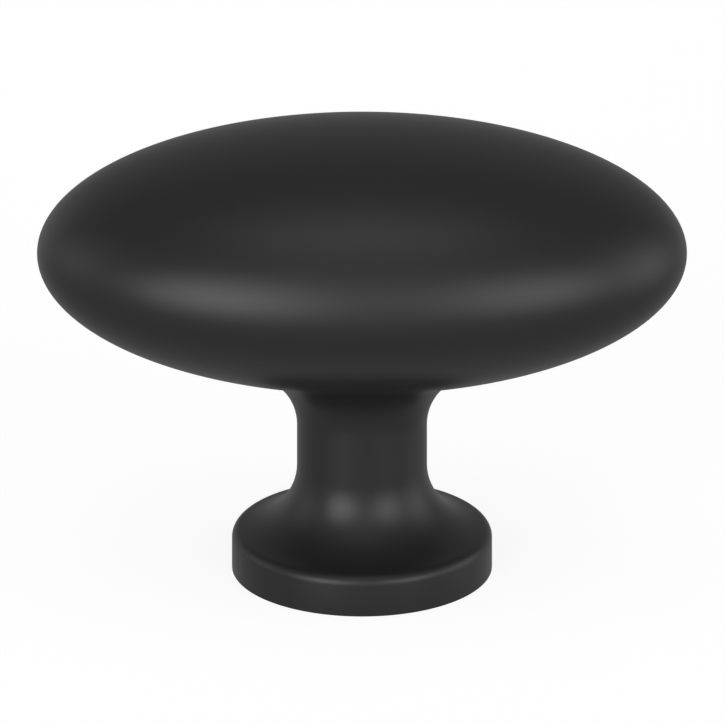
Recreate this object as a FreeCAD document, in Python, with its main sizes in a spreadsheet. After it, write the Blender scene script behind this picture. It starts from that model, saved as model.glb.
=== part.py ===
import FreeCAD, Part
import Sketcher
import math
import os

# Cabinet knob, cast in one piece: an oval, egg-shaped head on a straight round neck that flares into a round foot.
# Millimetres and degrees. The origin is the centre of the mounting face, +Z points away from the cabinet front
# and +X runs along the head.

# Driving sizes
SIZES = {
    "head_length": 40.0,            # end to end, along X
    "head_width": 24.6,             # side to side, along Y
    "head_thickness": 15.85,        # underside to crown
    "projection": 28.83,            # mounting face to crown
    "neck_diameter": 8.0,
    "head_fillet": 4.1,             # round between the neck and the head's underside
    "foot_diameter": 16.0,
    "foot_thickness": 2.58,         # up to the lowest line of the flare
    "flare_overrun": 0.33,          # how far outside the rim that lowest line would lie
    "rim_round": 0.66,              # round on the foot's upper edge
    "tapped_hole_diameter": 3.454,  # wall left by the tapping drill for a No. 8-32 screw
    "tapped_hole_depth": 14.0,      # full diameter, from the mounting face
    "lead_in_diameter": 5.0,        # countersink at the mouth
    "lead_in_angle": 90.0,          # countersink, included
    "drill_point_angle": 118.0,     # blind end, included
}
NEAR = 0.001

# Places that follow from the driving sizes
HEAD_CENTRE = "Sizes.projection - Sizes.head_thickness / 2"
FLARE_RADIUS = "(Sizes.foot_diameter - Sizes.neck_diameter) / 2 + Sizes.flare_overrun"
FLARE_TOP = f"Sizes.foot_thickness + {FLARE_RADIUS}"
BARE_NECK = f"Sizes.projection - Sizes.head_thickness - ({FLARE_TOP})"

# A sketch numbers a line's or an arc's own points, and its origin, like this
START, END, CENTRE = 1, 2, 3
ORIGIN = (-1, 1)


def add_sizes(doc):
    """Write the driving sizes into a sheet, each with its name as alias."""
    sheet = doc.addObject("Spreadsheet::Sheet", "Sizes")
    for row, (name, value) in enumerate(SIZES.items(), start=1):
        sheet.set(f"A{row}", name)
        sheet.set(f"B{row}", str(value))
        sheet.setAlias(f"B{row}", name)
    doc.recompute()
    return sheet


def origin_plane(body, role):
    """The body's own origin plane with this role."""
    return next(plane for plane in body.Origin.OriginFeatures if plane.Role == role)


def add_sketch(body, name, role):
    """An empty sketch on one of the body's origin planes."""
    sketch = body.newObject("Sketcher::SketchObject", name)
    sketch.AttachmentSupport = [(origin_plane(body, role), "")]
    sketch.MapMode = "FlatFace"
    return sketch


def bind(sketch, name, kind, *where, size, drawn):
    """Add one named dimension to a sketch, as drawn, and tie it to the sheet."""
    index = sketch.addConstraint(Sketcher.Constraint(kind, *where, drawn))
    sketch.renameConstraint(index, name)
    sketch.setExpression(f"Constraints.{name}", size)


def flare_circle(sheet):
    """Radius of the foot's hollow flare and the height of its centre, where it runs into the neck."""
    radius = (sheet.foot_diameter - sheet.neck_diameter) / 2 + sheet.flare_overrun
    return radius, sheet.foot_thickness + radius


def add_foot_and_neck(doc, body, sheet):
    """Turn the foot and neck: flat seat, upright rim, hollow flare, straight neck up to the middle of the head."""
    sketch = add_sketch(body, "FootProfile", "XZ_Plane")
    foot = sheet.foot_diameter / 2
    neck = sheet.neck_diameter / 2
    flare, flare_top = flare_circle(sheet)
    middle = sheet.projection - sheet.head_thickness / 2
    rim_angle = math.asin(sheet.flare_overrun / flare)
    rim_height = flare_top - flare * math.cos(rim_angle)
    corners = [(0, 0), (foot, 0), (foot, rim_height), (neck, flare_top), (neck, middle), (0, middle)]
    points = [FreeCAD.Vector(across, up, 0) for across, up in corners]
    seat_centre, seat_edge, rim_top, neck_foot, neck_top, axis_top = points

    circle = Part.Circle(FreeCAD.Vector(neck + flare, flare_top, 0), FreeCAD.Vector(0, 0, 1), flare)
    seat_line = sketch.addGeometry(Part.LineSegment(seat_centre, seat_edge))
    rim_line = sketch.addGeometry(Part.LineSegment(seat_edge, rim_top))
    flare_arc = sketch.addGeometry(Part.ArcOfCircle(circle, math.pi, 1.5 * math.pi - rim_angle))
    neck_line = sketch.addGeometry(Part.LineSegment(neck_foot, neck_top))
    top_line = sketch.addGeometry(Part.LineSegment(neck_top, axis_top))
    axis_line = sketch.addGeometry(Part.LineSegment(axis_top, seat_centre))

    joins = [
        (seat_line, END, rim_line, START),
        (rim_line, END, flare_arc, END),
        (neck_line, END, top_line, START),
        (top_line, END, axis_line, START),
        (axis_line, END, seat_line, START),
        (seat_line, START, *ORIGIN),
    ]
    for join in joins:
        sketch.addConstraint(Sketcher.Constraint("Coincident", *join))
    sketch.addConstraint(Sketcher.Constraint("Tangent", flare_arc, START, neck_line, START))
    for line in (seat_line, top_line):
        sketch.addConstraint(Sketcher.Constraint("Horizontal", line))
    for line in (rim_line, neck_line, axis_line):
        sketch.addConstraint(Sketcher.Constraint("Vertical", line))
    bind(sketch, "foot_radius", "DistanceX", *ORIGIN, seat_line, END,
         size="Sizes.foot_diameter / 2", drawn=foot)
    bind(sketch, "neck_radius", "DistanceX", *ORIGIN, neck_line, START,
         size="Sizes.neck_diameter / 2", drawn=neck)
    bind(sketch, "flare_radius", "Radius", flare_arc, size=FLARE_RADIUS, drawn=flare)
    bind(sketch, "flare_top", "DistanceY", *ORIGIN, flare_arc, CENTRE, size=FLARE_TOP, drawn=flare_top)
    bind(sketch, "head_middle", "DistanceY", *ORIGIN, axis_line, START, size=HEAD_CENTRE, drawn=middle)

    turned = body.newObject("PartDesign::Revolution", "FootAndNeck")
    turned.Profile = sketch
    turned.ReferenceAxis = (sketch, ["V_Axis"])
    turned.Angle = 360.0
    doc.recompute()
    return turned


def add_head(doc, body):
    """Add the head, an ellipsoid whose poles are the two ends of its length."""
    head = body.newObject("PartDesign::AdditiveEllipsoid", "Head")
    head.AttachmentSupport = [(origin_plane(body, "YZ_Plane"), "")]
    head.MapMode = "FlatFace"
    head.setExpression("Radius1", "Sizes.head_length / 2")
    head.setExpression("Radius2", "Sizes.head_width / 2")
    head.setExpression("Radius3", "Sizes.head_thickness / 2")
    head.setExpression(".AttachmentOffset.Base.y", HEAD_CENTRE)
    doc.recompute()
    return head


def ring_edges(shape, radius, lowest, highest):
    """Names of the edges that run round the Z axis at this radius, between two heights."""
    names = []
    for number, edge in enumerate(shape.Edges, start=1):
        if edge.Degenerated:
            continue
        points = edge.discretize(9)
        on_radius = all(abs(math.hypot(point.x, point.y) - radius) < NEAR for point in points)
        in_reach = all(lowest < point.z < highest for point in points)
        goes_round = edge.BoundBox.XLength + edge.BoundBox.YLength > radius
        if on_radius and in_reach and goes_round:
            names.append(f"Edge{number}")
    return names


def add_fillet(doc, body, name, base, edges, radius):
    """Round some edges of a feature."""
    fillet = body.newObject("PartDesign::Fillet", name)
    fillet.Base = (base, edges)
    fillet.setExpression("Radius", radius)
    doc.recompute()
    return fillet


def add_tapped_hole(doc, body, sheet):
    """Bore the blind hole for the fixing screw, with its drill point and a countersunk mouth."""
    sketch = add_sketch(body, "HoleCentre", "XY_Plane")
    radius = sheet.tapped_hole_diameter / 2
    mouth = sketch.addGeometry(Part.Circle(FreeCAD.Vector(0, 0, 0), FreeCAD.Vector(0, 0, 1), radius))
    sketch.addConstraint(Sketcher.Constraint("Coincident", mouth, CENTRE, *ORIGIN))
    bind(sketch, "hole_radius", "Radius", mouth, size="Sizes.tapped_hole_diameter / 2", drawn=radius)
    doc.recompute()

    hole = body.newObject("PartDesign::Hole", "TappedHole")
    hole.Profile = sketch
    doc.recompute()
    hole.ThreadType = "None"
    hole.Reversed = True
    hole.DepthType = "Dimension"
    hole.HoleCutType = "Countersink"
    hole.DrillPoint = "Angled"
    hole.DrillForDepth = False
    hole.setExpression("Diameter", "Sizes.tapped_hole_diameter")
    hole.setExpression("Depth", "Sizes.tapped_hole_depth")
    hole.setExpression("HoleCutDiameter", "Sizes.lead_in_diameter")
    hole.setExpression("HoleCutCountersinkAngle", "Sizes.lead_in_angle")
    hole.setExpression("DrillPointAngle", "Sizes.drill_point_angle")
    doc.recompute()
    return hole


def build_knob(doc, sheet):
    """Build the whole knob as one body."""
    body = doc.addObject("PartDesign::Body", "Knob")
    body.Label = "knob"
    add_foot_and_neck(doc, body, sheet)
    head = add_head(doc, body)

    flare_top = flare_circle(sheet)[1]
    neck_meets_head = ring_edges(head.Shape, sheet.neck_diameter / 2, flare_top + NEAR, sheet.projection)
    under_head = add_fillet(doc, body, "HeadFillet", head, neck_meets_head,
                            f"min(Sizes.head_fillet; {BARE_NECK})")
    rim = ring_edges(under_head.Shape, sheet.foot_diameter / 2, NEAR, flare_top)
    add_fillet(doc, body, "RimRound", under_head, rim, "Sizes.rim_round")
    body.Tip = add_tapped_hole(doc, body, sheet)
    doc.recompute()
    return body


def check(doc, bodies):
    """Stop if any feature failed or any finished shape isn't one sound solid."""
    for item in doc.Objects:
        if {"Invalid", "Error"} & set(item.State):
            raise RuntimeError(f"{item.Name} failed: {item.State}")
    for body in bodies:
        if body.Shape.isNull() or not body.Shape.isValid() or len(body.Shape.Solids) != 1:
            raise RuntimeError(f"{body.Label} isn't one sound solid")


def main():
    """Build the knob and write its one solid."""
    doc = FreeCAD.newDocument("CabinetKnob")
    sheet = add_sizes(doc)
    bodies = [build_knob(doc, sheet)]
    check(doc, bodies)
    os.makedirs("parts", exist_ok=True)
    for body in bodies:
        body.Shape.exportStep(f"parts/{body.Label}.step")
        print(body.Label, round(body.Shape.Volume, 3), "mm3", body.Shape.BoundBox)


main()
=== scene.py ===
import logging
import math
from dataclasses import dataclass, field
from enum import Enum

import bmesh
import bpy
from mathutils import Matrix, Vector

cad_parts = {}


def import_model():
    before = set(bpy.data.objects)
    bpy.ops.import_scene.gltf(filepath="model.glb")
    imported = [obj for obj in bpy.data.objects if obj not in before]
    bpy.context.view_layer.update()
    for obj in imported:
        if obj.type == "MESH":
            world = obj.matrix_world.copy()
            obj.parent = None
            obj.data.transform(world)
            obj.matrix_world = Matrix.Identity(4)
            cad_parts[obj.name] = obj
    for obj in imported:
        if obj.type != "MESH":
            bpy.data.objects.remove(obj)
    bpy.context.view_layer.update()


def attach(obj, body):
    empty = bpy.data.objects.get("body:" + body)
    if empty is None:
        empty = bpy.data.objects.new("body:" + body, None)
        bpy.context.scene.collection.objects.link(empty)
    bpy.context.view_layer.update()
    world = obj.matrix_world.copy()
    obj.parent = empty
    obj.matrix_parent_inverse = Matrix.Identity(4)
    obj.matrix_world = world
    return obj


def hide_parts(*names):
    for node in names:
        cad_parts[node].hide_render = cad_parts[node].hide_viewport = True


log = logging.getLogger("cabinet_knob")

MM = 0.001


class Surface(Enum):
    """The knob's two surfaces. Each value is the place of its finish in the mesh's list."""

    OUTSIDE = 0
    HOLE = 1


# Finishes

class Bench:
    """A new material with its shader, and the few nodes that every finish here is mixed from."""

    def __init__(self, name: str) -> None:
        """Make the material.

        Args:
            name: Name of the material.
        """
        self.material = bpy.data.materials.new(name)
        self.material.use_nodes = True
        self.tree = self.material.node_tree
        self.shader = self.tree.nodes["Principled BSDF"]
        self.place = self.tree.nodes.new("ShaderNodeTexCoord").outputs["Object"]

    def noise(self, size: float, detail: float,
              stretch: tuple[float, float, float] = (1.0, 1.0, 1.0)) -> bpy.types.NodeSocket:
        """Noise whose lumps have a real size.

        Args:
            size: Size of one lump, in metres.
            detail: Octaves of finer noise.
            stretch: Scale of the pattern along each axis. Below 1 draws it out.

        Returns:
            Output from 0 to 1.
        """
        along = self.tree.nodes.new("ShaderNodeMapping")
        along.inputs["Scale"].default_value = stretch
        self.tree.links.new(self.place, along.inputs["Vector"])
        noise = self.tree.nodes.new("ShaderNodeTexNoise")
        noise.inputs["Scale"].default_value = 1.0 / size
        noise.inputs["Detail"].default_value = detail
        self.tree.links.new(along.outputs["Vector"], noise.inputs["Vector"])
        return noise.outputs["Fac"]

    def between(self, pattern: bpy.types.NodeSocket, middle: float,
                spread: float) -> bpy.types.NodeSocket:
        """Spread a pattern evenly about a value.

        Args:
            pattern: Output from 0 to 1.
            middle: Value in the middle.
            spread: How far it goes to either side.

        Returns:
            Output round the middle value.
        """
        widened = self.tree.nodes.new("ShaderNodeMapRange")
        widened.inputs["To Min"].default_value = middle - spread
        widened.inputs["To Max"].default_value = middle + spread
        self.tree.links.new(pattern, widened.inputs["Value"])
        return widened.outputs["Result"]

    def combine(self, operation: str, first: bpy.types.NodeSocket | float,
                second: bpy.types.NodeSocket | float) -> bpy.types.NodeSocket:
        """Work out one number from two.

        Args:
            operation: What is done, as the Math node names it.
            first: An output or a plain number.
            second: The other one.

        Returns:
            Output with the result.
        """
        result = self.tree.nodes.new("ShaderNodeMath")
        result.operation = operation
        for value, socket in zip((first, second), result.inputs):
            if isinstance(value, float):
                socket.default_value = value
            else:
                self.tree.links.new(value, socket)
        return result.outputs["Value"]

    def bump(self, pattern: bpy.types.NodeSocket, height: float) -> None:
        """Raise the surface by a pattern of real height, on top of the bumps that are there already.

        Args:
            pattern: Output from 0 to 1.
            height: Height of the bumps, in metres.
        """
        bump = self.tree.nodes.new("ShaderNodeBump")
        bump.inputs["Distance"].default_value = height
        self.tree.links.new(pattern, bump.inputs["Height"])
        below = self.shader.inputs["Normal"]
        if below.is_linked:
            self.tree.links.new(below.links[0].from_socket, bump.inputs["Normal"])
        self.tree.links.new(bump.outputs["Normal"], below)


@dataclass(frozen=True)
class SatinBlackCoat:
    """A thin sprayed black coat, cured smooth and satin, on the cast metal.

    Attributes:
        name: Name of the material.
        colour: Colour of the coat, linear.
        shade_spread: How far its shade goes to either side.
        roughness: Roughness in the middle.
        roughness_spread: How far it goes to either side.
        flow_size: Size of the slow waves in the film.
        flow_height: Height of those waves.
        grain_size: Size of the spray grain.
        grain_height: Height of that grain.
    """

    name: str = "sprayed_satin_black"
    colour: tuple[float, float, float] = (0.018, 0.018, 0.018)
    shade_spread: float = 0.06
    roughness: float = 0.38
    roughness_spread: float = 0.02
    flow_size: float = 1.6 * MM
    flow_height: float = 0.0008 * MM
    grain_size: float = 0.09 * MM
    grain_height: float = 0.00012 * MM

    def material(self) -> bpy.types.Material:
        """Build the coat: slow flow of the wet film, fine spray grain, changes of shade and gloss.

        Returns:
            The material.
        """
        bench = Bench(self.name)
        flow = bench.noise(self.flow_size, detail=2.0)
        grain = bench.noise(self.grain_size, detail=3.0)
        tint = bench.tree.nodes.new("ShaderNodeVectorMath")
        tint.operation = "SCALE"
        tint.inputs[0].default_value = self.colour
        bench.tree.links.new(bench.between(flow, 1.0, self.shade_spread), tint.inputs["Scale"])
        bench.tree.links.new(tint.outputs["Vector"], bench.shader.inputs["Base Color"])
        gloss = bench.between(grain, self.roughness, self.roughness_spread)
        bench.tree.links.new(gloss, bench.shader.inputs["Roughness"])
        bench.bump(flow, self.flow_height)
        bench.bump(grain, self.grain_height)
        return bench.material


@dataclass(frozen=True)
class BareCastMetal:
    """Zinc alloy, where the tap and the countersink have cut through the coat.

    Attributes:
        name: Name of the material.
        colour: Colour of the metal, linear.
        roughness: Roughness in the middle.
        roughness_spread: How far it goes to either side.
        mark_size: Width of one turned mark.
        mark_length: How many times longer than wide a mark is.
        mark_height: Depth of the marks.
    """

    name: str = "bare_cast_metal"
    colour: tuple[float, float, float] = (0.62, 0.62, 0.60)
    roughness: float = 0.36
    roughness_spread: float = 0.10
    mark_size: float = 0.05 * MM
    mark_length: float = 8.0
    mark_height: float = 0.002 * MM

    def material(self) -> bpy.types.Material:
        """Build the metal: bright, with the fine turned marks that a tool leaves round the hole.

        Returns:
            The material.
        """
        bench = Bench(self.name)
        drawn_out = 1 / self.mark_length
        marks = bench.noise(self.mark_size, detail=2.0, stretch=(drawn_out, drawn_out, 1.0))
        gloss = bench.between(marks, self.roughness, self.roughness_spread)
        bench.tree.links.new(gloss, bench.shader.inputs["Roughness"])
        bench.bump(marks, self.mark_height)
        bench.shader.inputs["Base Color"].default_value = (*self.colour, 1.0)
        bench.shader.inputs["Metallic"].default_value = 1.0
        return bench.material


# Making by hand

def deselect_all() -> None:
    """Leave every object unselected."""
    bpy.ops.object.select_all(action="DESELECT")


def select_only(piece: bpy.types.Object) -> None:
    """Select one object and make it the active one.

    Args:
        piece: The object.
    """
    deselect_all()
    piece.select_set(True)
    bpy.context.view_layer.objects.active = piece


def start_plane(name: str, size: float, middle: Vector, tilt: float = 0.0) -> bpy.types.Object:
    """Add the small plane that a piece is shaped from, and open it for editing.

    Args:
        name: Name of the piece.
        size: Length of the plane's sides.
        middle: Middle of the plane.
        tilt: Angle by which it is turned up about X.

    Returns:
        The new object, at the origin and in edit mode.
    """
    deselect_all()
    bpy.ops.mesh.primitive_plane_add(size=size, calc_uvs=False, location=middle,
                                     rotation=(tilt, 0.0, 0.0))
    piece = bpy.context.object
    piece.name = name
    bpy.ops.object.transform_apply(location=True, rotation=True, scale=True)
    bpy.ops.object.mode_set(mode="EDIT")
    return piece


def arc(middle: tuple[float, float], radius: float, start: float, end: float,
        steps: int) -> list[tuple[float, float]]:
    """Points along a circular arc in the profile's plane.

    Args:
        middle: Middle of the circle, across and up.
        radius: Radius of the circle.
        start: Angle of the first point, in degrees from straight outwards.
        end: Angle of the last point.
        steps: Number of equal steps between them.

    Returns:
        The points, the first and last among them.
    """
    angles = [math.radians(start + (end - start) * step / steps) for step in range(steps + 1)]
    return [(middle[0] + radius * math.cos(angle), middle[1] + radius * math.sin(angle))
            for angle in angles]


def smooth(share: float) -> float:
    """Ease a share from 0 to 1 so that it starts and ends gently.

    Args:
        share: How far along, from 0 to 1.

    Returns:
        The eased share.
    """
    return share * share * (3.0 - 2.0 * share)


# The knob

@dataclass
class Tap:
    """The tap that cuts the screw thread. It is modelled whole, cut away from the knob, and removed.

    Attributes:
        major_radius: Radius of the thread's roots in the metal.
        pitch: Rise of one turn.
        inner_radius: Inner radius of the tooth, within the bore.
        flank_angle: Angle of each flank from level, in degrees.
        start: Height of the first turn, outside the hole.
        turns: Number of turns.
        steps: Steps in one turn.
    """

    major_radius: float = 2.083 * MM
    pitch: float = 0.79375 * MM
    inner_radius: float = 1.60 * MM
    flank_angle: float = 30.0
    start: float = -0.60 * MM
    turns: int = 17
    steps: int = 48

    def build(self) -> bpy.types.Object:
        """Shape one tooth, sweep it up the hole as a right-hand helix and close its ends.

        Returns:
            The tap, a closed mesh.
        """
        depth = self.major_radius - self.inner_radius
        tip = self.pitch / 8
        back = tip + 2 * depth * math.tan(math.radians(self.flank_angle))
        middle = Vector((self.inner_radius + depth / 2, 0.0, self.start))
        tooth = start_plane("tap", depth, middle, tilt=math.pi / 2)
        bpy.ops.transform.resize(value=(1.0, 1.0, back / depth), center_override=middle)
        mesh = bmesh.from_edit_mesh(tooth.data)
        for vertex in mesh.verts:
            vertex.select_set(vertex.co.x > middle.x)
        mesh.select_flush_mode()
        bpy.ops.transform.resize(value=(1.0, 1.0, tip / back), center_override=middle)
        bpy.ops.object.mode_set(mode="OBJECT")

        helix = tooth.modifiers.new("helix", "SCREW")
        helix.axis = "Z"
        helix.angle = math.tau
        helix.screw_offset = self.pitch
        helix.iterations = self.turns
        helix.steps = helix.render_steps = self.steps
        bpy.ops.object.modifier_apply(modifier=helix.name)
        bpy.ops.object.mode_set(mode="EDIT")
        bpy.ops.mesh.select_all(action="SELECT")
        bpy.ops.mesh.fill_holes(sides=4)
        bpy.ops.mesh.select_all(action="SELECT")
        bpy.ops.mesh.normals_make_consistent(inside=False)
        bpy.ops.object.mode_set(mode="OBJECT")
        return tooth

    def cut(self, knob: bpy.types.Object, weld: float) -> None:
        """Cut the thread into the knob's hole, and weld the points that the cut leaves in one place.

        Args:
            knob: The knob's mesh, with its plain bore.
            weld: Distance within which points are one.
        """
        tooth = self.build()
        select_only(knob)
        thread = knob.modifiers.new("thread", "BOOLEAN")
        thread.operation = "DIFFERENCE"
        thread.solver = "EXACT"
        thread.object = tooth
        bpy.ops.object.modifier_apply(modifier=thread.name)
        bpy.data.objects.remove(tooth)
        bpy.ops.object.mode_set(mode="EDIT")
        bpy.ops.mesh.select_all(action="SELECT")
        bpy.ops.mesh.remove_doubles(threshold=weld)
        bpy.ops.object.mode_set(mode="OBJECT")


@dataclass
class KnobCasting:
    """The knob, cast in one piece: round foot, hollow flare, straight neck and egg-shaped head.

    Attributes:
        name: Name of the piece.
        head_length: Length of the head, along X.
        head_width: Width of the head, along Y.
        head_thickness: Thickness of the head, from its underside to the crown.
        projection: Height of the crown above the mounting face.
        neck_radius: Radius of the straight neck.
        head_fillet: Radius of the round rolled between the neck and the head.
        foot_radius: Radius of the foot's rim.
        foot_thickness: Height of the flare's lowest line.
        flare_overrun: How far outside the rim that line would lie.
        rim_round: Radius of the round on the foot's upper edge.
        seat_round: Radius of the round on the edge of the mounting face.
        bore_radius: Radius of the tapping hole.
        bore_depth: Depth of its full diameter.
        mouth_radius: Radius of its 90 degree countersink, at the mounting face.
        drill_point: Angle of the drill's point, included, in degrees.
        segments: Steps round the axis.
        seat_steps: Steps on the round of the mounting face.
        rim_steps: Steps on the round of the rim.
        flare_steps: Steps on the flare.
        neck_steps: Steps on the straight neck.
        round_steps: Steps on the rolled round.
        under_steps: Steps on the lower half of the head.
        crown_steps: Steps on the upper half of the head.
        roll_tries: How often the place of the rolled ball is worked out again, each time closer.
        flat_support: Distance from the mounting face's edges to the points that keep it flat.
        weld: Distance within which points are one.
        sharp_edge: Angle above which an edge stays sharp, in degrees.
        tap: The tap that cuts the thread.
        coat: Finish of the outside.
        metal: Finish of the hole.
    """

    name: str = "knob_casting"
    head_length: float = 40.0 * MM
    head_width: float = 24.6 * MM
    head_thickness: float = 15.85 * MM
    projection: float = 28.83 * MM
    neck_radius: float = 4.0 * MM
    head_fillet: float = 4.1 * MM
    foot_radius: float = 8.0 * MM
    foot_thickness: float = 2.58 * MM
    flare_overrun: float = 0.33 * MM
    rim_round: float = 0.66 * MM
    seat_round: float = 0.05 * MM
    bore_radius: float = 1.727 * MM
    bore_depth: float = 14.0 * MM
    mouth_radius: float = 2.5 * MM
    drill_point: float = 118.0
    segments: int = 192
    seat_steps: int = 5
    rim_steps: int = 12
    flare_steps: int = 32
    neck_steps: int = 6
    round_steps: int = 30
    under_steps: int = 36
    crown_steps: int = 60
    roll_tries: int = 40
    flat_support: float = 0.2 * MM
    weld: float = 0.0005 * MM
    sharp_edge: float = 35.0
    tap: Tap = field(default_factory=Tap)
    coat: SatinBlackCoat = field(default_factory=SatinBlackCoat)
    metal: BareCastMetal = field(default_factory=BareCastMetal)

    @property
    def flare_radius(self) -> float:
        """Radius of the hollow flare between foot and neck."""
        return self.foot_radius - self.neck_radius + self.flare_overrun

    @property
    def flare_top(self) -> float:
        """Height at which the flare has run into the neck."""
        return self.foot_thickness + self.flare_radius

    @property
    def head_middle(self) -> float:
        """Height of the middle of the head."""
        return self.projection - self.head_thickness / 2

    @property
    def half_axes(self) -> Vector:
        """Half of the head's length, width and thickness."""
        return Vector((self.head_length, self.head_width, self.head_thickness)) / 2

    def build(self) -> bpy.types.Object:
        """Draw the profile, spin it round the axis, bring the head to its oval, then tap and coat it.

        Returns:
            The finished knob.
        """
        profile = self._turned_profile() + self._oval_profile(0.0)
        knob = start_plane(self.name, self.neck_radius, profile[0])
        bpy.ops.mesh.merge(type="CENTER")
        for start, end in zip(profile, profile[1:]):
            bpy.ops.mesh.extrude_region_move(TRANSFORM_OT_translate={"value": end - start})
        self._number_points(knob)
        bpy.ops.mesh.select_all(action="SELECT")
        bpy.ops.mesh.spin(steps=self.segments, angle=math.tau, center=(0.0, 0.0, 0.0),
                          axis=(0.0, 0.0, 1.0))
        bpy.ops.mesh.select_all(action="SELECT")
        bpy.ops.mesh.remove_doubles(threshold=self.weld)
        self._bring_to_oval(knob)
        bpy.ops.mesh.select_all(action="SELECT")
        bpy.ops.mesh.normals_make_consistent(inside=False)
        bpy.ops.object.mode_set(mode="OBJECT")
        knob.data.attributes.remove(knob.data.attributes["ring"])
        self.tap.cut(knob, self.weld)
        self._dress(knob)
        return knob

    def _turned_profile(self) -> list[Vector]:
        """Points of the bore, seat, rim and flare, which are round.

        Returns:
            Points from the end of the bore out over the seat and up to the neck.
        """
        point_height = self.bore_radius / math.tan(math.radians(self.drill_point / 2))
        seat_edge = self.foot_radius - self.seat_round
        line = [
            (0.0, self.bore_depth + point_height),
            (self.bore_radius, self.bore_depth),
            (self.bore_radius, self.mouth_radius - self.bore_radius),
            (self.mouth_radius, 0.0),
            (self.mouth_radius + self.flat_support, 0.0),
            (seat_edge - self.flat_support, 0.0),
        ]
        line += arc((seat_edge, self.seat_round), self.seat_round, -90.0, 0.0, self.seat_steps)

        out = self.rim_round + self.flare_overrun
        down = math.sqrt((self.flare_radius + self.rim_round) ** 2 - out ** 2)
        lean = math.degrees(math.atan2(down, out))
        rim_middle = (self.foot_radius - self.rim_round, self.flare_top - down)
        line += arc(rim_middle, self.rim_round, 0.0, lean, self.rim_steps)
        flare_middle = (self.neck_radius + self.flare_radius, self.flare_top)
        line += arc(flare_middle, self.flare_radius, 180.0 + lean, 180.0, self.flare_steps)[1:]
        return [Vector((across, 0.0, up)) for across, up in line]

    def _oval_profile(self, azimuth: float) -> list[Vector]:
        """Points of the neck, the rolled round and the head, which change round the axis.

        Args:
            azimuth: Angle round the neck's axis.

        Returns:
            Points from just above the flare up to the crown.
        """
        ball, touch = self._rolled_ball(azimuth)
        inward = Vector((-math.cos(azimuth), -math.sin(azimuth), 0.0))
        onto_head = (touch - ball).normalized()
        neck_bottom = Vector((0.0, 0.0, self.flare_top)) - self.neck_radius * inward
        neck_top = ball + self.head_fillet * inward
        points = [neck_bottom.lerp(neck_top, step / self.neck_steps)
                  for step in range(1, self.neck_steps + 1)]
        points += [ball + self.head_fillet * inward.slerp(onto_head, step / self.round_steps)
                   for step in range(1, self.round_steps + 1)]

        half = self.half_axes
        first_rise = math.acos((self.head_middle - touch.z) / half.z)
        first_turn = math.atan2(touch.y / half.y, touch.x / half.x)
        spare = math.remainder(azimuth - first_turn, math.tau)
        for step in range(1, self.under_steps + 1):
            share = step / self.under_steps
            rise = first_rise + (math.pi / 2 - first_rise) * share
            points.append(self._head_point(first_turn + spare * smooth(share), rise))
        points += [self._head_point(azimuth, math.pi / 2 * (1 + step / self.crown_steps))
                   for step in range(1, self.crown_steps)]
        points.append(Vector((0.0, 0.0, self.projection)))
        return points

    def _head_point(self, turn: float, rise: float) -> Vector:
        """A point on the head.

        Args:
            turn: Angle round the neck's axis, on the sphere that the head is stretched from.
            rise: Angle up from the lowest point of that sphere.

        Returns:
            The point, in metres.
        """
        half = self.half_axes
        return Vector((
            half.x * math.sin(rise) * math.cos(turn),
            half.y * math.sin(rise) * math.sin(turn),
            self.head_middle - half.z * math.cos(rise),
        ))

    def _rolled_ball(self, azimuth: float) -> tuple[Vector, Vector]:
        """Roll a ball in the corner between the neck and the underside of the head.

        Args:
            azimuth: Where the ball touches the neck, as an angle round it.

        Returns:
            The middle of the ball and the point where it touches the head.
        """
        half = self.half_axes
        reach = self.neck_radius + self.head_fillet
        ball = Vector((reach * math.cos(azimuth), reach * math.sin(azimuth), 0.0))
        across = ball.copy()
        for _ in range(self.roll_tries):
            drop = math.sqrt(1.0 - (across.x / half.x) ** 2 - (across.y / half.y) ** 2)
            touch = Vector((across.x, across.y, self.head_middle - half.z * drop))
            slope = Vector((across.x / half.x ** 2, across.y / half.y ** 2, -drop / half.z))
            outward = slope.normalized()
            across = ball - self.head_fillet * outward
        ball.z = touch.z + self.head_fillet * outward.z
        return ball, touch

    @staticmethod
    def _number_points(knob: bpy.types.Object) -> None:
        """Number the points of the drawn profile, so that each keeps its number when it is spun.

        Args:
            knob: The profile, in edit mode.
        """
        mesh = bmesh.from_edit_mesh(knob.data)
        ring = mesh.verts.layers.int.new("ring")
        for number, vertex in enumerate(mesh.verts):
            vertex[ring] = number
        bmesh.update_edit_mesh(knob.data)

    def _bring_to_oval(self, knob: bpy.types.Object) -> None:
        """Move each point of the neck and the head from the spun circle to its own place on the oval.

        Args:
            knob: The spun mesh, in edit mode.
        """
        mesh = bmesh.from_edit_mesh(knob.data)
        ring = mesh.verts.layers.int["ring"]
        round_points = len(self._turned_profile())
        step = math.tau / self.segments
        lines = [self._oval_profile(step * number) for number in range(self.segments)]
        for vertex in mesh.verts:
            number = vertex[ring] - round_points
            if number >= 0 and vertex.co.xy.length > self.weld:
                azimuth = math.atan2(vertex.co.y, vertex.co.x)
                vertex.co = lines[round(azimuth / step) % self.segments][number]
        bmesh.update_edit_mesh(knob.data)

    def _dress(self, knob: bpy.types.Object) -> None:
        """Coat the outside, leave the metal bare in the hole, and smooth all but the real edges.

        Args:
            knob: The finished mesh.
        """
        select_only(knob)
        for finish in (self.coat, self.metal):
            knob.data.materials.append(finish.material())
        for face in knob.data.polygons:
            near_axis = face.center.xy.length < self.mouth_radius
            inside = near_axis and self.weld < face.center.z < self.head_middle
            face.material_index = (Surface.HOLE if inside else Surface.OUTSIDE).value
        bpy.ops.object.shade_smooth_by_angle(angle=math.radians(self.sharp_edge))


# The studio

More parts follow.
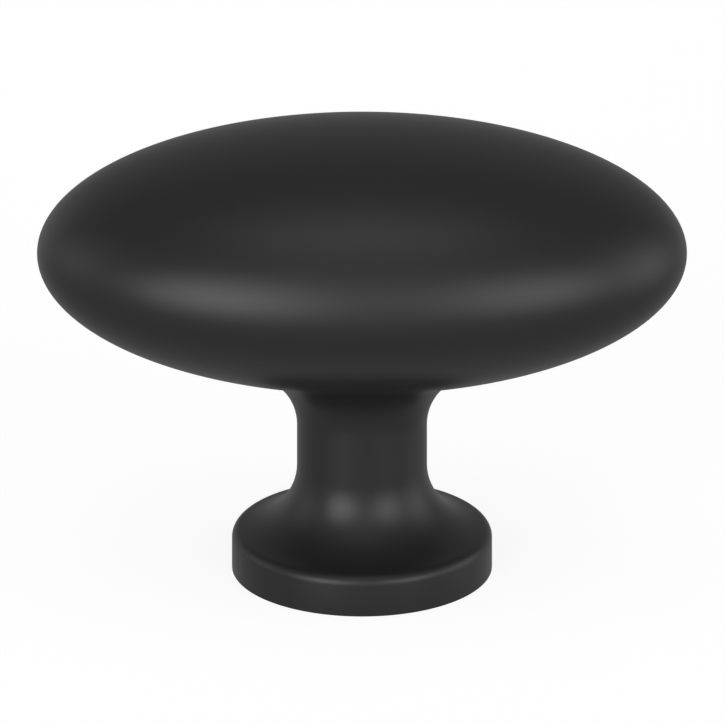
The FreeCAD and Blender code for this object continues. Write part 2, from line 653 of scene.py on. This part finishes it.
def direction(azimuth: float, elevation: float) -> Vector:
    """Unit vector from the knob.

    Args:
        azimuth: Degrees round from the front, to the right.
        elevation: Degrees up from level.

    Returns:
        The direction.
    """
    round_by, up_by = math.radians(azimuth), math.radians(elevation)
    return Vector((
        math.sin(round_by) * math.cos(up_by),
        -math.cos(round_by) * math.cos(up_by),
        math.sin(up_by),
    ))


@dataclass
class SoftLamp:
    """One round soft box with a cloth grid, aimed at the knob. It fades towards its edge.

    Attributes:
        name: Name of the lamp.
        azimuth: Degrees round from the front, to the right.
        elevation: Degrees up from level.
        reach: Angle from its middle to its edge, in degrees.
        power: Power, in watts.
        distance: Distance from the knob, in metres.
    """

    name: str
    azimuth: float
    elevation: float
    reach: float
    power: float
    distance: float = 0.6

    def place(self, target: Vector) -> bpy.types.Object:
        """Add the lamp in its direction from the target, facing it.

        Args:
            target: The point that it lights.

        Returns:
            The lamp's object.
        """
        away = direction(self.azimuth, self.elevation)
        reach = math.radians(self.reach)
        bpy.ops.object.light_add(type="AREA", location=target + self.distance * away)
        lamp = bpy.context.object
        lamp.name = self.name
        lamp.data.shape = "DISK"
        lamp.data.size = 2 * self.distance * math.tan(reach)
        lamp.data.spread = 2 * reach
        lamp.data.energy = self.power
        lamp.visible_camera = False
        lamp.rotation_mode = "QUATERNION"
        lamp.rotation_quaternion = away.to_track_quat("Z", "Y")
        return lamp


@dataclass
class Studio:
    """A pale floor, soft boxes, plain surroundings and the camera of the photograph.

    Attributes:
        look_at: The point in the middle of the picture.
        elevation: How far the camera looks down, in degrees.
        view_width: Width of the picture at the knob.
        camera_distance: Distance of the camera from that point.
        camera_reach: Nearest and furthest distance that the camera sees.
        floor_size: Length of the floor's sides.
        floor_glow: Its own light, to the camera, reflections and glass.
        floor_in_reflections: Share of it that all rays but the camera's meet.
        floor_shade: Its own grey, on which the shadow falls.
        floor_roughness: Roughness of the paper.
        light_above: Light of the surroundings over the horizon.
        light_below: Light of the surroundings under it.
        horizon: Half the height over which the one turns into the other.
        lamps: The soft boxes.
    """

    look_at: Vector = field(default_factory=lambda: Vector((0.0, 0.0, 13.65 * MM)))
    elevation: float = 22.675
    view_width: float = 44.543 * MM
    camera_distance: float = 0.3
    camera_reach: tuple[float, float] = (0.01, 5.0)
    floor_size: float = 3.0
    floor_glow: float = 0.88
    floor_in_reflections: float = 0.25
    floor_shade: float = 0.24
    floor_roughness: float = 0.9
    light_above: float = 0.165
    light_below: float = 0.081
    horizon: float = 0.1
    lamps: list[SoftLamp] = field(default_factory=lambda: [
        SoftLamp("left_soft_box", -35.0, 10.5, 30.0, 0.465),
        SoftLamp("right_soft_box", 42.5, 11.7, 30.5, 0.365),
        SoftLamp("side_soft_box", 94.0, 6.5, 32.5, 0.245),
        SoftLamp("far_left_soft_box", -97.0, 12.0, 29.0, 0.083),
        SoftLamp("front_soft_box", -1.0, 17.0, 42.0, 0.360),
        SoftLamp("top_soft_box", 0.0, 80.0, 28.0, 0.092),
        SoftLamp("back_soft_box", 180.0, 0.0, 60.0, 0.564),
        SoftLamp("back_left_soft_box", -138.0, 5.0, 25.0, 0.013),
        SoftLamp("back_right_soft_box", 138.0, 5.0, 25.0, 0.004),
        SoftLamp("under_soft_box", 0.0, -88.0, 30.0, 0.023),
    ])

    def add_floor(self) -> bpy.types.Object:
        """Lay the floor, white from above and clear from below, with the knob's soft shadow on it.

        The camera sees it solid. Reflections and glass show the same white floor as a thin sheet,
        through which the tall soft boxes still shine, as they do in the photograph's reflections.

        Returns:
            The floor's object.
        """
        deselect_all()
        bpy.ops.mesh.primitive_plane_add(size=self.floor_size, calc_uvs=False)
        floor = bpy.context.object
        floor.name = "floor"
        bench = Bench("pale_floor")
        paper = bench.shader.inputs
        paper["Base Color"].default_value = (*[self.floor_shade] * 3, 1.0)
        paper["Roughness"].default_value = self.floor_roughness
        paper["Specular IOR Level"].default_value = 0.0
        paper["Emission Color"].default_value = (1.0, 1.0, 1.0, 1.0)
        nodes, links = bench.tree.nodes, bench.tree.links
        rays = nodes.new("ShaderNodeLightPath").outputs
        side = nodes.new("ShaderNodeNewGeometry").outputs

        mirrored = bench.combine("MAXIMUM", rays["Is Glossy Ray"], rays["Is Transmission Ray"])
        seen = bench.combine("MAXIMUM", rays["Is Camera Ray"], mirrored)
        links.new(bench.combine("MULTIPLY", seen, self.floor_glow), paper["Emission Strength"])
        solid = bench.combine("MAXIMUM", rays["Is Camera Ray"], self.floor_in_reflections)
        from_above = bench.combine("SUBTRACT", 1.0, side["Backfacing"])
        mix = nodes.new("ShaderNodeMixShader")
        links.new(bench.combine("MULTIPLY", solid, from_above), mix.inputs["Fac"])
        links.new(nodes.new("ShaderNodeBsdfTransparent").outputs["BSDF"], mix.inputs[1])
        links.new(bench.shader.outputs["BSDF"], mix.inputs[2])
        links.new(mix.outputs["Shader"], nodes["Material Output"].inputs["Surface"])
        bench.material.cycles.emission_sampling = "NONE"
        floor.data.materials.append(bench.material)
        return floor

    def add_surroundings(self) -> None:
        """Light the knob evenly from above and below the horizon, with plain white behind the floor."""
        world = bpy.data.worlds.new("plain_surroundings")
        bpy.context.scene.world = world
        world.use_nodes = True
        nodes, links = world.node_tree.nodes, world.node_tree.links
        place = nodes.new("ShaderNodeTexCoord")
        height = nodes.new("ShaderNodeSeparateXYZ")
        light = nodes.new("ShaderNodeMapRange")
        light.inputs["From Min"].default_value = -self.horizon
        light.inputs["From Max"].default_value = self.horizon
        light.inputs["To Min"].default_value = self.light_below
        light.inputs["To Max"].default_value = self.light_above
        rays = nodes.new("ShaderNodeLightPath")
        seen = nodes.new("ShaderNodeMath")
        seen.operation = "MAXIMUM"
        links.new(place.outputs["Generated"], height.inputs["Vector"])
        links.new(height.outputs["Z"], light.inputs["Value"])
        links.new(light.outputs["Result"], seen.inputs[0])
        links.new(rays.outputs["Is Camera Ray"], seen.inputs[1])
        links.new(seen.outputs["Value"], nodes["Background"].inputs["Strength"])
        nodes["Background"].inputs["Color"].default_value = (1.0, 1.0, 1.0, 1.0)

    def add_camera(self) -> bpy.types.Object:
        """Add the camera at the photograph's angle, without perspective as there.

        Returns:
            The camera.
        """
        away = direction(0.0, self.elevation)
        bpy.ops.object.camera_add(location=self.look_at + self.camera_distance * away)
        camera = bpy.context.object
        camera.name = "camera"
        camera.data.type = "ORTHO"
        camera.data.ortho_scale = self.view_width
        camera.data.clip_start, camera.data.clip_end = self.camera_reach
        camera.rotation_mode = "QUATERNION"
        camera.rotation_quaternion = away.to_track_quat("Z", "Y")
        bpy.context.scene.camera = camera
        return camera

    def build(self) -> None:
        """Set up floor, surroundings, lamps and camera."""
        self.add_floor()
        self.add_surroundings()
        for lamp in self.lamps:
            lamp.place(self.look_at)
        self.add_camera()
        bpy.context.scene.view_settings.view_transform = "Standard"


def main() -> None:
    """Load the frame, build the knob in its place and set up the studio."""
    logging.basicConfig(level=logging.INFO, format="%(message)s")
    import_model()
    knob = KnobCasting().build()
    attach(knob, "root")
    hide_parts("knob")
    log.info("%s: %d faces", knob.name, len(knob.data.polygons))
    Studio().build()


if __name__ == "__main__":
    main()
